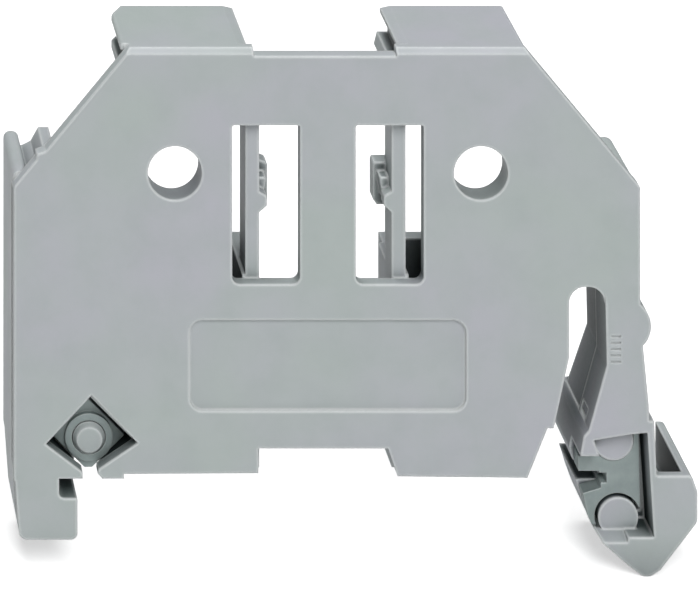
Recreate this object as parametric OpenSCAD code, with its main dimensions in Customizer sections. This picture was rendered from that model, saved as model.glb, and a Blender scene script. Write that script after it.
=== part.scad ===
// End stop for a 35 mm mounting rail: moulded body with a spring lever, and two clamping plates.
// X runs across the rail from its middle, Y along the rail (front face at -Y), Z up from the rail's top.

/* [Rail] */
// Width of the rail over its two flanges
rail_w = 35; // [34:0.1:36]
// Thickness of the rail's flange
rail_t = 1; // [0.8:0.1:1.3]
// Free space round the flange's edge
rail_play = 0.15; // [0.1:0.05:0.3]

/* [Plate] */
// Length that the stop takes up along the rail
stop_w = 6; // [5.5:0.5:10]
// Height of the plate above the rail
top_h = 27.9; // [27:0.1:32]
// Width of the plate across the rail
plate_w = 40.6; // [40:0.2:42]
// Width of the plate's top edge
top_w = 25.6; // [24:0.2:28]
// Height taken by the slopes at the upper corners
slope_h = 8.9; // [7.5:0.1:10]
// Offset of the plate's middle from the middle of the rail
plate_off = -0.4; // [-0.8:0.1:0]
// Thickness of the front and rear skins
skin_t = 0.8; // [0.7:0.1:1.1]
// Thickness of the walls and ribs behind the front skin
wall_t = 1; // [0.8:0.1:1.2]
// Gap between the plate's lower edge and the rail
under_gap = 0.4; // [0.2:0.1:0.7]
// Height of the rear skin
rear_h = 12.9; // [11:0.1:15]

/* [Holes and windows] */
// Diameter of the two round holes
hole_d = 3.5; // [3:0.1:4.2]
// Distance of the round holes from the plate's middle
hole_x = 9.9; // [9:0.1:11]
// Height of the round holes
hole_z = 19.9; // [19:0.1:21]
// Depth of the round holes, collar included
hole_l = 1.5; // [1.2:0.1:2.2]
// Width of each window
win_w = 4.4; // [3.5:0.1:5]
// Distance of each window's inner edge from the middle
win_x = 1.8; // [1.5:0.1:2.5]
// Height of the windows' lower edge
win_z = 12.7; // [12:0.1:13.5]
// Height of each window
win_h = 10.3; // [9:0.1:11]
// Width of the blank name field
field_w = 17.9; // [14:0.1:20]
// Height of the blank name field
field_h = 5.9; // [4:0.1:7]
// Depth of the blank name field
field_d = 0.2; // [0.1:0.05:0.3]

/* [Marker carriers] */
// Width of each marker head
head_w = 8.2; // [7:0.1:9]
// Distance of the marker heads from their common middle
head_x = 9; // [8.8:0.1:9.4]
// Thickness of the lip round the top of the marker heads
head_t = 0.4; // [0.3:0.05:0.7]
// Height of the snap groove under that lip
snap_h = 1.3; // [1:0.1:1.6]
// Depth of the snap groove under the edges of the heads
snap = 0.5; // [0.3:0.05:0.7]
// Clear width of the guide for the group marker
guide_w = 8.6; // [7.6:0.1:9]
// Depth of the guide bars in the windows
bar_d = 2.75; // [2.2:0.05:3.2]

/* [Clamping plates] */
// Thickness of the clamping plates
clamp_t = 1; // [0.8:0.05:1.1]
// Half diagonal of the left clamping plate
clamp_r = 2.35; // [2.2:0.05:2.4]
// Outer diameter of the collar on the left clamping plate
collar_d = 3.1; // [2.8:0.1:3.3]
// Depth of the left clamping plate's face below the front
clamp_in = 1.5; // [1.2:0.1:1.7]
// Diameter of the left pivot pin
pin_d = 2.1; // [1.8:0.1:2.3]
// Diameter of the pivot pins in the foot
foot_pin_d = 2.6; // [2.4:0.05:2.7]
// Depth of the right clamping plate's face below the front
jaw_in = 1.05; // [0.9:0.05:1.3]
// Running clearance on the radius of the pivots
pivot_gap = 0.05; // [0.03:0.01:0.09]
// Free space behind each clamping plate
side_gap = 0.05; // [0.03:0.01:0.1]

/* [Spring lever] */
// Width of the lever slot at its top
slot_w = 2.3; // [1.8:0.1:2.6]
// Height of the lever slot's top
slot_z = 12.55; // [11.8:0.05:13.5]
// Depth of the lever's upper arm
arm_d = 4.9; // [4:0.1:5.2]

/* [Hidden] */
$fn = 64;
half_w = plate_w / 2;
slope_z = top_h - slope_h;
rail_l = -rail_w / 2 - plate_off;         // left edge of the rail, seen from the plate's middle
rail_r = rail_w / 2 - plate_off;          // right edge of the rail
hook_z = -rail_t - rail_play;             // upper face of the hooks under the flanges
throat_l = rail_l - 2 * rail_play;        // wall of the left notch
throat_r = rail_r + rail_play;            // wall of the right notch
hook_in = rail_l + 0.9;                   // tip of the left hook
foot_z = hook_z - 2.65;                   // bottom of the left foot
pin_x = rail_l + 1.8;                     // left pivot
pin_z = clamp_r - 0.25;
clamp_back = clamp_in + clamp_t + side_gap;
jaw_back = jaw_in + clamp_t + side_gap;
seat_t = 1;                               // wall behind the clamping plates
slot_r = half_w - 2.4;                    // lever's edge at the top of the slot
slot_l = slot_r - slot_w;
jaw_x = rail_r - 1.5;                     // tip of the upper jaw
up_pin = [rail_r + 0.84, 2.05];           // pivot in the foot
low_pin = [rail_r + 1.15, -2.95];         // stop pin in the foot
low_gap = 0.2;                            // free space round the stop pin
low_hole = low_pin + [-0.02, 0.03];       // hole round the stop pin
jaw_floor = hook_z - 2.52;                // lower wall of the pocket in the foot
foot_top = 0.3;                           // top of the foot beside the lever
heads = [[-1, -0.2 - head_x], [1, -0.2 + head_x]];
head_h = head_w / 2;
flange_t = 1;                             // flange under the snap groove
guide_x = guide_w / 2;
bar_w = 0.9;                              // width of the guide bars
mid_h = top_h - 0.45;                     // top of the plate between the marker heads
lip_z = 0.15;                             // underside of the skin at the left clamping plate
eps = 0.01;

// ---- helpers -------------------------------------------------------------------------------
function unit(v) = v / norm(v);

// The piece between a corner b and the arc of radius r that touches both of its sides.
module corner(a, b, c, r) {
    u = unit(a - b);
    v = unit(c - b);
    half = acos(u * v) / 2;
    o = b + unit(u + v) * r / sin(half);
    difference() {
        polygon([for (p = [b, b + u * r / tan(half), o, b + v * r / tan(half)]) o + (p - o) * (1 + 0.02 / r)]);
        translate(o) circle(r);
    }
}

// A polygon of [x, z, radius] corners: a positive radius rounds an outer corner, a negative an inner one.
module rounded(pts) {
    n = len(pts);
    xy = [for (p = pts) [p[0], p[1]]];
    difference() {
        union() {
            polygon(xy);
            for (i = [0:n - 1]) if (pts[i][2] < 0)
                corner(xy[(i + n - 1) % n], xy[i], xy[(i + 1) % n], -pts[i][2]);
        }
        for (i = [0:n - 1]) if (pts[i][2] > 0)
            corner(xy[(i + n - 1) % n], xy[i], xy[(i + 1) % n], pts[i][2]);
    }
}

module box2(x0, x1, z0, z1) translate([x0, z0]) square([x1 - x0, z1 - z0]);

// Draws a shape of the (x, z) plane from depth d0 to depth d1 behind the front face.
module slab(d0, d1) translate([0, d1 - stop_w / 2, 0]) rotate([90, 0, 0]) linear_extrude(d1 - d0) children();

// Draws a shape of the (depth, z) plane from x0 to x1.
module rib(x0, x1) translate([x0, -stop_w / 2, 0]) rotate([90, 0, 90]) linear_extrude(x1 - x0) children();

module placed() translate([plate_off, 0, 0]) children();

// ---- outlines ------------------------------------------------------------------------------
module plate_outline() rounded([
    [-half_w, 0, 0], [throat_l, 0, 0], [throat_l, lip_z, 0], [rail_l + 3.9, lip_z, 0],
    [rail_l + 3.9, under_gap + 0.05, 0], [-4.5, under_gap + 0.1, 0], [-4.5, 2.1, 0], [3.9, 2.1, 0], [4.5, under_gap - 0.1, 0],
    [12.9, under_gap - 0.2, 0], [14.2, 3.4, 0], [slot_l - 1, 3.4, 0], [slot_l, 8, 0],
    [slot_l, slot_z, -1.05], [slot_r, slot_z, -1.05], [slot_r, slot_z - 0.6, 0], [half_w - 0.1, slot_z - 0.6, 0],
    [half_w - 0.1, slope_z, 0.3], [top_w / 2, top_h, 0.2], [0.15 + guide_x, top_h, 0], [0.15 + guide_x, mid_h, 0],
    [-0.5 - guide_x, mid_h, 0], [-0.5 - guide_x, top_h, 0], [-top_w / 2, top_h, 0.2],
    [-18.25, slope_z + 2.3, 0], [-18.85, slope_z + 2.1, 0], [-18.85, slope_z + 1.75, 0],
    [-half_w, slope_z, 0.4]
]);

module left_foot_outline() rounded([
    [-half_w, 1, 0], [-half_w + 0.35, foot_z, 0.5], [hook_in, foot_z, 0.45], [hook_in, hook_z, 0.1],
    [throat_l, hook_z, -0.35], [throat_l, 1, 0]
]);

module arm_outline(inset) {
    polygon([
        [slot_r - 0.02 + inset, slot_z + 2.5], [slot_r + 0.15 + inset, 7.45], [slot_r - 1 + inset, 3.3],
        [slot_r - 1.35 + inset, 2], [half_w + 0.5, 2], [half_w + 0.45, 4.9], [half_w + 0.1, 8.5],
        [half_w - 0.1, 11.5], [half_w - 0.1, slot_z + 2.5]
    ]);
    difference() {
        translate([half_w - 1.18, 10]) circle(1.78);
        box2(half_w - 6, half_w - 1, 5, 15);
    }
}

module foot_outline() rounded([
    [slot_r - 1, 3.25, 0], [jaw_x + 0.15, 2.85, 0.2], [jaw_x - 0.2, 0.9, 0], [jaw_x, 0.05, 0.3],
    [throat_r, 0.05, 0], [throat_r, hook_z, 0], [jaw_x + 0.2, hook_z, 0], [jaw_x + 0.6, hook_z - 1.3, 0],
    [jaw_x + 1.05, hook_z - 2.5, 0.3], [rail_r, hook_z - 3, 0], [rail_r + 1.5, hook_z - 4.3, 0],
    [rail_r + 2.7, hook_z - 5.2, 0.7], [rail_r + 3.6, hook_z - 4.6, 0.3], [rail_r + 6, hook_z - 1.5, 0.7],
    [rail_r + 6, hook_z + 0.45, 0.5], [rail_r + 5.65, foot_top, 0.3], [rail_r + 3.35, foot_top, 0],
    [rail_r + 3.2, 3.85, 0], [half_w, 3.85, 0]
]);

// The opening in the skin, narrower at the bottom than the square plate behind it.
module pocket_outline() polygon([
    [pin_x - 2.97, pin_z + 0.26], [pin_x - 0.57, 0.55], [pin_x - 0.57, -1], [pin_x + 0.8, -1],
    [pin_x + 0.7, lip_z], [pin_x + 0.42, 0.45], [pin_x + 0.44, 0.72], [pin_x + 3, pin_z + 0.34],
    [pin_x, pin_z + 3.43]
]);

module jaw_pocket_outline() polygon([
    [jaw_x - 1, 1.6], [jaw_x + 1.15, 1.6], [jaw_x + 0.8, 2.62], [rail_r + 1.6, 3], [rail_r + 2.78, 3.12],
    [rail_r + 3.2, jaw_floor], [jaw_x - 1, jaw_floor]
]);

// Section of a marker head: lip, snap groove and flange, from the outer side (-) to the inner side (+).
module head_outline() {
    rounded([[-head_h, -head_t, 0], [head_h, -head_t, 0], [head_h, -0.15, 0], [head_h - 0.65, 0, 0], [-head_h, 0, 0.2]]);
    box2(snap - head_h, head_h - snap, -head_t - snap_h - eps, -head_t + eps);
    polygon([[-head_h, -head_t - snap_h], [-head_h, -head_t - snap_h - 0.5], [-head_h + snap, -head_t - snap_h - flange_t],
        [head_h + 0.1, -head_t - snap_h - flange_t], [head_h + 0.4, -head_t - snap_h - 0.8],
        [head_h + 0.2, -head_t - snap_h]]);
}

// ---- body ----------------------------------------------------------------------------------
module skins() {
    slab(0, skin_t) {
        difference() {
            plate_outline();
            for (s = [-1, 1]) {
                translate([s * hole_x, hole_z]) circle(d = hole_d);
                translate([s * (win_x + win_w / 2), win_z + win_h / 2]) rounded([
                    [-win_w / 2, -win_h / 2, 0.5], [win_w / 2, -win_h / 2, 0.5],
                    [win_w / 2, win_h / 2, 0.15], [-win_w / 2, win_h / 2, 0.15]]);
            }
        }
    }
    slab(stop_w - skin_t, stop_w) {
        box2(-half_w, -guide_x - 0.3, 0.4, rear_h);
        polygon([[guide_x + 0.3, 0.4], [13, 0.4], [14.2, 3.4], [slot_l - 1, 3.4], [slot_l, 8], [slot_l, rear_h],
            [guide_x + 0.3, rear_h]]);
    }
}

module collars() for (s = [-1, 1]) slab(skin_t - eps, hole_l) translate([s * hole_x, hole_z])
    difference() {
        circle(d = hole_d + 2 * skin_t);
        circle(d = hole_d);
    }

module side_walls() {
    slab(skin_t - eps, stop_w) {
        rounded([[-half_w, 0.5, 0], [-half_w + wall_t, 0.5, 0], [-half_w + wall_t, slope_z + 0.6, 0.45],
            [-half_w, slope_z + 0.6, 0.45]]);
        rounded([[half_w - 0.1 - wall_t, slot_z, 0], [half_w - 0.1, slot_z, 0], [half_w - 0.1, slope_z + 0.2, 0.6],
            [half_w - 0.1 - wall_t, slope_z + 0.2, 0.1]]);
    }
    // marker slot at the left upper corner
    slab(skin_t - eps, stop_w) polygon([
        [-half_w + wall_t / 2, slope_z - 1.7], [-17.3, slope_z - 1.7], [-17.3, slope_z + 0.85],
        [-18, slope_z + 0.85], [-18.5, slope_z - 0.05], [-19.1, slope_z - 0.35], [-half_w + wall_t / 2, slope_z - 0.35]]);
}

module ribs() {
    slab(skin_t - eps, stop_w - eps) {
        // floor over the rail, and the walls of the lower box
        box2(throat_l - 0.5, rail_l + 4.2, 0, wall_t);
        box2(rail_l + 4.2 - eps, -guide_x, under_gap, under_gap + wall_t);
        box2(guide_x, 12.9, under_gap, under_gap + wall_t);
        polygon([[12.6, 0.4], [13.03, 0.4], [14.2, 3.4], [slot_l - 1, 3.4], [slot_l, 8], [slot_l, slot_z],
            [slot_l - wall_t, slot_z], [slot_l - wall_t, 8.2], [slot_l - 1.75, 4.3], [13.5, 4.3], [12.2, 1.2]]);
        box2(-11.4, -11.4 + wall_t, 0.5, rear_h - 1);
        box2(9.9, 9.9 + wall_t, 0.5, rear_h - 1);
    }
    // guide of the group marker: walls below, bars above, with a nose and a latch on each bar
    for (s = [-1, 1]) {
        slab(skin_t - eps, stop_w - 1.3) box2(min(s * guide_x, s * (guide_x + bar_w)),
            max(s * guide_x, s * (guide_x + bar_w)), 0.5, rear_h);
        slab(skin_t - eps, stop_w - eps) box2(min(s * (guide_x + 0.3), s * (guide_x + wall_t + 0.1)),
            max(s * (guide_x + 0.3), s * (guide_x + wall_t + 0.1)), 0.5, rear_h);
        slab(skin_t - eps, bar_d) box2(min(s * guide_x, s * (guide_x + bar_w)),
            max(s * guide_x, s * (guide_x + bar_w)), rear_h - eps, top_h - 2);
        slab(skin_t - eps, skin_t + 0.8) polygon([[s * (guide_x + eps), 16.95], [s * (guide_x - 0.5), 17.4],
            [s * (guide_x - 0.5), 18], [s * (guide_x + eps), 18.3]]);
        slab(bar_d - 0.3, bar_d + 0.65) polygon([[s * (guide_x + 0.5), 16.6], [s * (guide_x - 0.6), 16.6],
            [s * (guide_x - 0.85), 16.95], [s * (guide_x - 0.85), 19.2], [s * (guide_x - 0.75), 19.35],
            [s * (guide_x + 0.5), 19.35 + (s < 0 ? 0.4 : 0)]]);
        slab(skin_t + 0.8, bar_d) polygon([[s * (guide_x + eps), 17.2], [s * (guide_x - 0.4), 17.4],
            [s * (guide_x - 0.6), 18.8], [s * (guide_x + eps), 18.8]]);
    }
}

module marker_heads() for (h = heads) translate([h[1], 0, 0]) {
    z = top_h - head_t - snap_h;
    difference() {
        slab(skin_t - eps, stop_w) translate([0, top_h]) scale([-h[0], 1]) head_outline();
        // outer rear corner
        if (h[0] < 0) translate([-head_h, stop_w / 2, 0]) linear_extrude(top_h + 1)
            polygon([[-1, 0.5], [-1, -1.2], [0, -1.2], [0.8, 0], [0.8, 0.5]]);
    }
    for (s = [-1, 1]) rib(s * (head_h - snap - 0.4) - wall_t / 2, s * (head_h - snap - 0.4) + wall_t / 2)
        polygon([[skin_t - eps, z - 3.2], [stop_w - 1.3, z - 0.9], [stop_w - 1.3, z - 0.2], [skin_t - eps, z - 0.2]]);
}

module left_foot() {
    slab(0, stop_w) left_foot_outline();
    // seat of the clamping plate
    slab(skin_t - eps, clamp_back + seat_t) polygon([
        [-half_w + 0.1, 0], [rail_l + 4.2, 0], [rail_l + 4.2, under_gap], [pin_x + 4.1, 1.2], [pin_x + 4.1, 3.6],
        [pin_x + 1, 6.7], [-half_w + 0.1, 6.7]]);
}

module lever() {
    // the arm thickens towards the foot, and its rear part is set back by a small step
    intersection() {
        union() {
            slab(0, 2.4) arm_outline(0);
            slab(2.4 - eps, stop_w) arm_outline(0.1);
        }
        rib(slot_r - 3, half_w + 3) polygon([[-1, 1], [-1, slot_z + 3], [arm_d, slot_z + 3], [arm_d, 7.6],
            [arm_d + 0.6, 3.25], [stop_w + 1, 2.8], [stop_w + 1, 1]]);
    }
    slab(0, stop_w) foot_outline();
}

module pins() {
    // left pivot, with a rounded end
    translate([pin_x, -stop_w / 2 + clamp_in - 0.6, pin_z]) rotate([-90, 0, 0]) {
        translate([0, 0, 0.25]) cylinder(d = pin_d, h = clamp_back + eps - clamp_in + 0.35);
        cylinder(d1 = pin_d - 0.5, d2 = pin_d, h = 0.25 + eps);
    }
    // pins of the foot
    for (p = [up_pin, low_pin]) translate([p[0], -stop_w / 2, p[1]]) rotate([-90, 0, 0])
        translate([0, 0, jaw_in - 0.1]) cylinder(d = foot_pin_d, h = jaw_back + eps - jaw_in + 0.1);
}

module body() color([0.69, 0.72, 0.72]) placed() {
    difference() {
        union() {
            skins();
            collars();
            side_walls();
            ribs();
            marker_heads();
            left_foot();
            lever();
        }
        // blank name field
        slab(-1, field_d) translate([0, 7.45]) rounded([
            [-field_w / 2, -field_h / 2, 0.85], [field_w / 2, -field_h / 2, 0.85],
            [field_w / 2, field_h / 2, 0.85], [-field_w / 2, field_h / 2, 0.85]]);
        // groove down the left side
        slab(skin_t, skin_t + 0.8) box2(-half_w - 1, -half_w + 0.5, foot_z + 1, slope_z - 0.4);
        // pocket of the left clamping plate
        slab(-1, skin_t + eps) pocket_outline();
        slab(skin_t, clamp_back) translate([pin_x, pin_z]) rotate(45) square((clamp_r + 0.55) * sqrt(2), center = true);
        // pocket of the right clamping plate, and its upper end behind the lever's skin
        slab(-1, jaw_back) jaw_pocket_outline();
        slab(jaw_in - side_gap, jaw_back) box2(up_pin[0] - 1.75, rail_r + 2.75, 0, up_pin[1] + 2);
        // its lower wall slopes down to the front, and a deep groove runs down beside the plate
        rib(jaw_x - 1, rail_r + 1.5) polygon([[-1, jaw_floor - 0.68], [jaw_in, jaw_floor], [jaw_in, jaw_floor + 1],
            [-1, jaw_floor + 1]]);
        slab(jaw_in, stop_w - skin_t) polygon([[rail_r + 2.5, 1.6], [rail_r + 2.65, 1.6], [rail_r + 2.95, jaw_floor + 0.5],
            [rail_r + 2.5, jaw_floor + 0.5]]);
        // release pocket for a screwdriver, open at the top and at the rear
        slab(0.5, stop_w + 1) rounded([
            [rail_r + 3.6, foot_top + 1, 0], [rail_r + 3.6, hook_z - 2, 0.2], [rail_r + 4.4, hook_z - 2, 0.2],
            [rail_r + 5.1, hook_z - 1.1, 0.2], [rail_r + 5.1, foot_top + 1, 0]]);
        // softened front edge of the heads, and grip marks on the lever
        rib(-top_w / 2 - 1, top_w / 2 + 1) polygon([[-0.1, top_h - 0.4], [0.4, top_h + 0.1], [-0.1, top_h + 0.1]]);
        for (i = [0:4]) slab(-1, 0.06) box2(slot_r + 0.4, slot_r + 1.05, 7.65 + 0.41 * i, 7.78 + 0.41 * i);
    }
    pins();
}

// ---- clamping plates -----------------------------------------------------------------------
module left_clamp() color([0.56, 0.6, 0.59]) placed() difference() {
    union() {
        slab(clamp_in, clamp_in + clamp_t) difference() {
            translate([pin_x, pin_z]) rotate(45) square(clamp_r * sqrt(2), center = true);
            box2(pin_x - 1, pin_x + 1, -1, 0);
        }
        translate([pin_x, -stop_w / 2, pin_z]) rotate([-90, 0, 0])
            translate([0, 0, clamp_in - 0.3]) cylinder(d = collar_d, h = 0.3 + eps);
    }
    translate([pin_x, -stop_w / 2, pin_z]) rotate([-90, 0, 0])
        translate([0, 0, clamp_in - 1]) cylinder(d = pin_d + 2 * pivot_gap, h = clamp_t + 2);
}

module right_clamp() color([0.56, 0.6, 0.59]) placed() difference() {
    slab(jaw_in, jaw_in + clamp_t) polygon([
        [jaw_x + 0.1, 0.02], [rail_r - 0.05, 0.02], [rail_r - 0.05, -0.1], [rail_r + 0.43, -0.1],
        [rail_r + 0.43, -0.75], [rail_r + 0.05, -0.75], [rail_r + 0.05, hook_z + 0.05], [jaw_x + 0.4, hook_z - 0.3],
        [jaw_x + 0.65, hook_z - 1.5], [jaw_x + 0.95, jaw_floor + 0.2], [jaw_x + 1.4, jaw_floor + 0.2],
        [low_pin[0], hook_z - 1.5], [rail_r + 2.6, hook_z - 1.2], [rail_r + 2.5, up_pin[1] + 1.6],
        [up_pin[0] + 1, up_pin[1] + 1.6], [up_pin[0], up_pin[1]], [up_pin[0] - 1.2, 1.1], [jaw_x + 0.1, 1]
    ]);
    for (p = [[up_pin, pivot_gap], [low_hole, low_gap]])
        translate([p[0][0], -stop_w / 2, p[0][1]]) rotate([-90, 0, 0])
            translate([0, 0, jaw_in - 1]) cylinder(d = foot_pin_d + 2 * p[1], h = clamp_t + 2);
}

body();
left_clamp();
right_clamp();
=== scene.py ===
"""Looks of the rail end stop: materials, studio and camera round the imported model."""

import bpy
from mathutils import Matrix, Vector


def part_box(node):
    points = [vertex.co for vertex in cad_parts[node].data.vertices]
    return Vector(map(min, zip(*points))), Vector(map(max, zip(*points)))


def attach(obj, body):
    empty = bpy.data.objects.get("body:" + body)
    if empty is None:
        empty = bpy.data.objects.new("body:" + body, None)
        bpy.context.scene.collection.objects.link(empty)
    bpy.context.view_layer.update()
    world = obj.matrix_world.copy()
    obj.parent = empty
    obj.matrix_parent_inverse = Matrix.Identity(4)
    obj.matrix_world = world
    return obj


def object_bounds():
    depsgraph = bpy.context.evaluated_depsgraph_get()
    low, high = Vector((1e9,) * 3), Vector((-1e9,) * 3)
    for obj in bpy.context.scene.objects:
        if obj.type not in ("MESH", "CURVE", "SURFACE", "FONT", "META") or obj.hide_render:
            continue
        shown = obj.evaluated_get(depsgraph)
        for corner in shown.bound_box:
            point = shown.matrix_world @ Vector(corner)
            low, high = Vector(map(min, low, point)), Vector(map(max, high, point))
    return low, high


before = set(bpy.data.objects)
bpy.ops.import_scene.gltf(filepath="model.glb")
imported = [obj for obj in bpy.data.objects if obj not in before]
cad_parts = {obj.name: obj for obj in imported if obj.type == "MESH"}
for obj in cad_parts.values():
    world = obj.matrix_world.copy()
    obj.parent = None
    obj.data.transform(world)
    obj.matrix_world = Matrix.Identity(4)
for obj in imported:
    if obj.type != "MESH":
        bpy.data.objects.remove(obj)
cad_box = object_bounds()

lo, hi = Vector(cad_box[0]), Vector(cad_box[1])
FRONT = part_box("body")[0][1]  # the front face's Y
FLOOR = lo.z
FLOOR_HALF = 3.0  # half the side of the square floor

# Colours, in sRGB 0-255
PLASTIC_GREEN, PLASTIC_VIOLET = (173, 182, 180), (178, 180, 187)
PLASTIC_PATCH, PLASTIC_EDGE_HIGHLIGHT, PLASTIC_PAINTED_SHADE = (160, 170, 168), (232, 236, 236), (24, 42, 42)
METAL_DARK, METAL_LIGHT, METAL_GLINT = (140, 152, 151), (156, 167, 166), (205, 212, 210)

# Widths that the painted highlights along edges and the painted shade in recesses reach over
PLASTIC_EDGE_HIGHLIGHT_WIDTH, METAL_GLINT_WIDTH, SHADE_REACH = 0.0003, 0.00012, 0.006

# The break in the lever's wall: its strip's depth behind the front face, and its section (x, z)
# with x from the body's left end
STRIP_DEPTH = (0.0009, 0.0020)
STRIP_SECTION = ((0.03721, 0.0033), (0.037515, 0.0044), (0.0377, 0.0044), (0.0374, 0.0033))

SKY_STRENGTH = 0.05


# ---- small helpers for node trees ----------------------------------------------------------
class Tree:
    """A node tree that is written as calls."""

    def __init__(self, name):
        self.mat = bpy.data.materials.new(name)
        self.mat.use_nodes = True
        self.nt = self.mat.node_tree
        self.nt.nodes.clear()
        self.out = self.nt.nodes.new("ShaderNodeOutputMaterial")

    def node(self, kind, settings=(), **inputs):
        n = self.nt.nodes.new("ShaderNode" + kind)
        for key, value in dict(settings).items():
            setattr(n, key, value)
        for key, value in inputs.items():
            self.put(n, key.replace("_", " "), value)
        return n

    def put(self, n, key, value):
        socket = n.inputs[int(key)] if key.isdigit() else n.inputs[key]
        if isinstance(value, bpy.types.NodeSocket):
            self.nt.links.new(value, socket)
        else:
            socket.default_value = value

    def math(self, op, a, b=0.0, clamp=False):
        n = self.nt.nodes.new("ShaderNodeMath")
        n.operation, n.use_clamp = op, clamp
        self.put(n, "0", a)
        self.put(n, "1", b)
        return n.outputs[0]

    def mix(self, factor, a, b):
        n = self.nt.nodes.new("ShaderNodeMix")
        n.data_type = "RGBA"
        for i, value in ((0, factor), (6, a), (7, b)):
            if isinstance(value, bpy.types.NodeSocket):
                self.nt.links.new(value, n.inputs[i])
            else:
                n.inputs[i].default_value = value
        return n.outputs[2]

    def ramp(self, value, *stops):
        n = self.nt.nodes.new("ShaderNodeValToRGB")
        self.put(n, "Fac", value)
        while len(n.color_ramp.elements) < len(stops):
            n.color_ramp.elements.new(0.5)
        for e, (at, grey) in zip(n.color_ramp.elements, stops):
            e.position, e.color = at, (grey, grey, grey, 1)
        return n.outputs["Color"]

    def noise(self, vector, scale, detail=3.0, rough=0.55):
        return self.node("TexNoise", Vector=vector, Scale=scale, Detail=detail, Roughness=rough).outputs[0]


def srgb(r, g, b):
    def lin(c):
        c /= 255
        return c / 12.92 if c <= 0.04045 else ((c + 0.055) / 1.055) ** 2.4

    return (lin(r), lin(g), lin(b), 1)


def highlight_mask(t, radius):
    """1 on convex and concave edges, 0 on flat faces; it places the painted highlights along them."""
    bevel = t.node("Bevel", {"samples": 6}, Radius=radius).outputs[0]
    flat = t.node("NewGeometry").outputs["True Normal"]
    n = t.node("VectorMath", {"operation": "DOT_PRODUCT"})
    t.nt.links.new(bevel, n.inputs[0])
    t.nt.links.new(flat, n.inputs[1])
    return t.ramp(n.outputs["Value"], (0.89, 1), (0.997, 0)), bevel


def recess_shade(t, reach):
    """1 deep in a recess, 0 in the open; it places the painted shade in recesses."""
    open_ = t.node("AmbientOcclusion", {"samples": 8}, Distance=reach).outputs["AO"]
    return t.ramp(open_, (0.2, 1), (0.68, 0))


def plastic():
    t = Tree("body_plastic")
    at = t.node("TexCoord").outputs["Object"]
    highlight, soft = highlight_mask(t, PLASTIC_EDGE_HIGHLIGHT_WIDTH)
    # slow drift of the pigment, and the fine grain of a moulded skin
    drift = t.noise(at, 90, 2)
    patch = t.noise(at, 420, 4, 0.6)
    tone = t.mix(t.ramp(drift, (0.35, 0), (0.68, 1)), srgb(*PLASTIC_GREEN), srgb(*PLASTIC_VIOLET))
    blotch = t.math("MULTIPLY", t.ramp(patch, (0.4, 0), (0.75, 1)), 0.35)
    tone = t.mix(blotch, tone, srgb(*PLASTIC_PATCH))
    # painted shade: recesses and cavities are darkened towards a dark teal, standing in for the shadow
    # that falls there
    tone = t.mix(t.math("MULTIPLY", recess_shade(t, SHADE_REACH), 0.94), tone, srgb(*PLASTIC_PAINTED_SHADE))
    # painted highlight: a lighter colour along the edges stands in for light caught by their rounding
    tone = t.mix(t.math("MULTIPLY", highlight, 0.85), tone, srgb(*PLASTIC_EDGE_HIGHLIGHT))
    grain = t.noise(at, 9000, 2, 0.5)
    swirl = t.noise(at, 1500, 3, 0.6)
    height = t.math("ADD", t.math("MULTIPLY", grain, 0.4), swirl)
    bump = t.node("Bump", Strength=0.12, Distance=0.00006, Height=height, Normal=soft).outputs[0]
    rough = t.math("ADD", 0.46, t.math("MULTIPLY", patch, 0.16))
    shader = t.node("BsdfPrincipled", Base_Color=tone, Roughness=rough, Normal=bump)
    shader.inputs["IOR"].default_value = 1.5
    t.nt.links.new(shader.outputs[0], t.out.inputs[0])
    return t.mat


def plate_metal():
    t = Tree("clamp_metal")
    at = t.node("TexCoord").outputs["Object"]
    highlight, soft = highlight_mask(t, METAL_GLINT_WIDTH)
    cloud = t.noise(at, 700, 4, 0.6)
    grain = t.noise(at, 7000, 3, 0.6)
    tone = t.mix(t.ramp(cloud, (0.35, 0), (0.7, 1)), srgb(*METAL_DARK), srgb(*METAL_LIGHT))
    # painted highlight: a lighter colour along the clamp plate's edges stands in for glints of light
    tone = t.mix(t.math("MULTIPLY", highlight, 0.6), tone, srgb(*METAL_GLINT))
    bump = t.node("Bump", Strength=0.2, Distance=0.00004, Height=grain, Normal=soft).outputs[0]
    rough = t.math("ADD", 0.42, t.math("MULTIPLY", cloud, 0.2))
    shader = t.node("BsdfPrincipled", Base_Color=tone, Roughness=rough, Normal=bump)
    shader.inputs["Metallic"].default_value = 0.35
    t.nt.links.new(shader.outputs[0], t.out.inputs[0])
    return t.mat


def dress(node, mat):
    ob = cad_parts[node]
    ob.data.materials.clear()
    ob.data.materials.append(mat)


dress("body", plastic())
metal = plate_metal()
dress("left_clamp", metal)
dress("right_clamp", metal)


# ---- the lever's wall beside the clamping plate ----------------------------------------------
# A thin strip closes a small break in the wall where the plate's pocket ends behind it.
def wall_strip():
    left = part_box("body")[0][0]
    verts = [(left + x, FRONT + depth, z) for depth in STRIP_DEPTH for x, z in STRIP_SECTION]
    faces = [(3, 2, 1, 0), (4, 5, 6, 7)] + [(i, (i + 1) % 4, (i + 1) % 4 + 4, i + 4) for i in range(4)]
    data = bpy.data.meshes.new("lever_wall")
    data.from_pydata(verts, [], faces)
    ob = bpy.data.objects.new("lever_wall", data)
    bpy.context.collection.objects.link(ob)
    data.materials.append(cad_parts["body"].data.materials[0])
    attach(ob, "body")


wall_strip()


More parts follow.
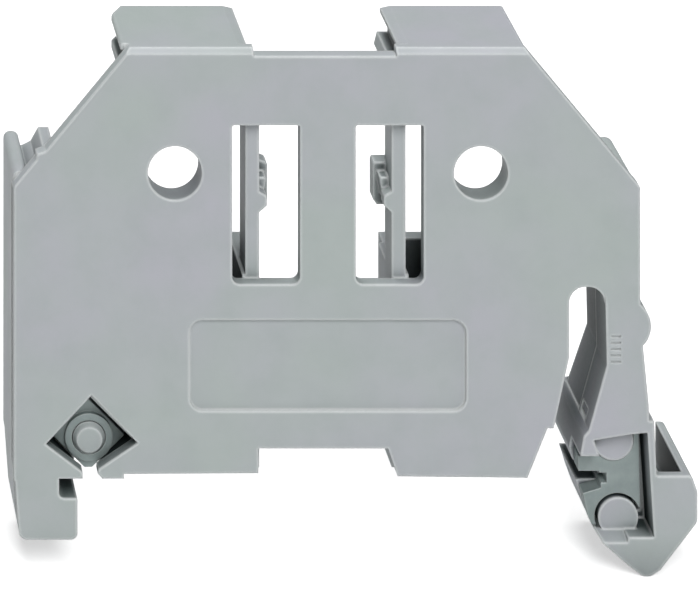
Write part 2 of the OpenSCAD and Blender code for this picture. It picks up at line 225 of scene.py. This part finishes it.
# ---- studio --------------------------------------------------------------------------------
def floor_material():
    t = Tree("floor_paper")
    shader = t.node("BsdfDiffuse", Color=(0.9, 0.9, 0.9, 1))
    glow = t.node("Emission", Color=(1, 1, 1, 1), Strength=0.55)
    seen = t.node("LightPath").outputs["Is Camera Ray"]
    black = t.node("Emission", Color=(0, 0, 0, 1), Strength=0.0)
    pick = t.node("MixShader")
    t.nt.links.new(seen, pick.inputs[0])
    t.nt.links.new(black.outputs[0], pick.inputs[1])
    t.nt.links.new(glow.outputs[0], pick.inputs[2])
    both = t.node("AddShader")
    t.nt.links.new(shader.outputs[0], both.inputs[0])
    t.nt.links.new(pick.outputs[0], both.inputs[1])
    t.nt.links.new(both.outputs[0], t.out.inputs[0])
    return t.mat


mesh = bpy.data.meshes.new("floor")
corners = ((-1, -1), (1, -1), (1, 1), (-1, 1))
mesh.from_pydata([(FLOOR_HALF * x, FLOOR_HALF * y, FLOOR) for x, y in corners], [], [(0, 1, 2, 3)])
floor = bpy.data.objects.new("floor", mesh)
bpy.context.collection.objects.link(floor)
mesh.materials.append(floor_material())


def lamp(name, place, target, size, watts):
    data = bpy.data.lights.new(name, "AREA")
    data.shape, data.size, data.energy = "DISK", size, watts
    ob = bpy.data.objects.new(name, data)
    bpy.context.collection.objects.link(ob)
    ob.location = place
    ob.rotation_euler = (Vector(target) - Vector(place)).to_track_quat("-Z", "Y").to_euler()


middle = (lo + hi) / 2
lamp("key", (0.06, -0.42, 0.46), middle, 0.34, 2.65)
lamp("top", (-0.05, 0.04, 0.5), middle, 0.25, 1.25)
lamp("side", (-0.5, 0.05, 0.12), middle, 0.3, 0.26)

world = bpy.data.worlds.new("studio")
bpy.context.scene.world = world
world.use_nodes = True
sky = world.node_tree.nodes["Background"]
sky.inputs[0].default_value = (1, 1, 1, 1)
seen = world.node_tree.nodes.new("ShaderNodeLightPath").outputs["Is Camera Ray"]
level = world.node_tree.nodes.new("ShaderNodeMapRange")
level.inputs["To Min"].default_value = SKY_STRENGTH
world.node_tree.links.new(seen, level.inputs["Value"])
world.node_tree.links.new(level.outputs[0], sky.inputs[1])
scene = bpy.context.scene
scene.view_settings.view_transform = "Standard"

# ---- camera --------------------------------------------------------------------------------
# A technical camera: it looks down on the stop from the left, with its film parallel to the
# front plate, so that the plate shows square on and depth runs up and to the left.
eye = Vector((-0.0481, FRONT - 0.225, 0.1372))
aim = Vector((0.00102, FRONT, 0.01164))
frame_width = 0.04528
ray = aim - eye
cam_data = bpy.data.cameras.new("camera")
cam_data.sensor_width = 36
cam_data.lens = 36 * ray.length / frame_width
cam_data.clip_start, cam_data.clip_end = 0.01, 20
cam = bpy.data.objects.new("camera", cam_data)
bpy.context.collection.objects.link(cam)
tripod = bpy.data.objects.new("tripod", None)
bpy.context.collection.objects.link(tripod)
back = -ray.normalized()
cam.parent = tripod
cam.matrix_parent_inverse = Matrix((
    (1, 0, back.x, eye.x),
    (0, 0, back.y, eye.y),
    (0, 1, back.z, eye.z),
    (0, 0, 0, 1),
))
scene.camera = cam
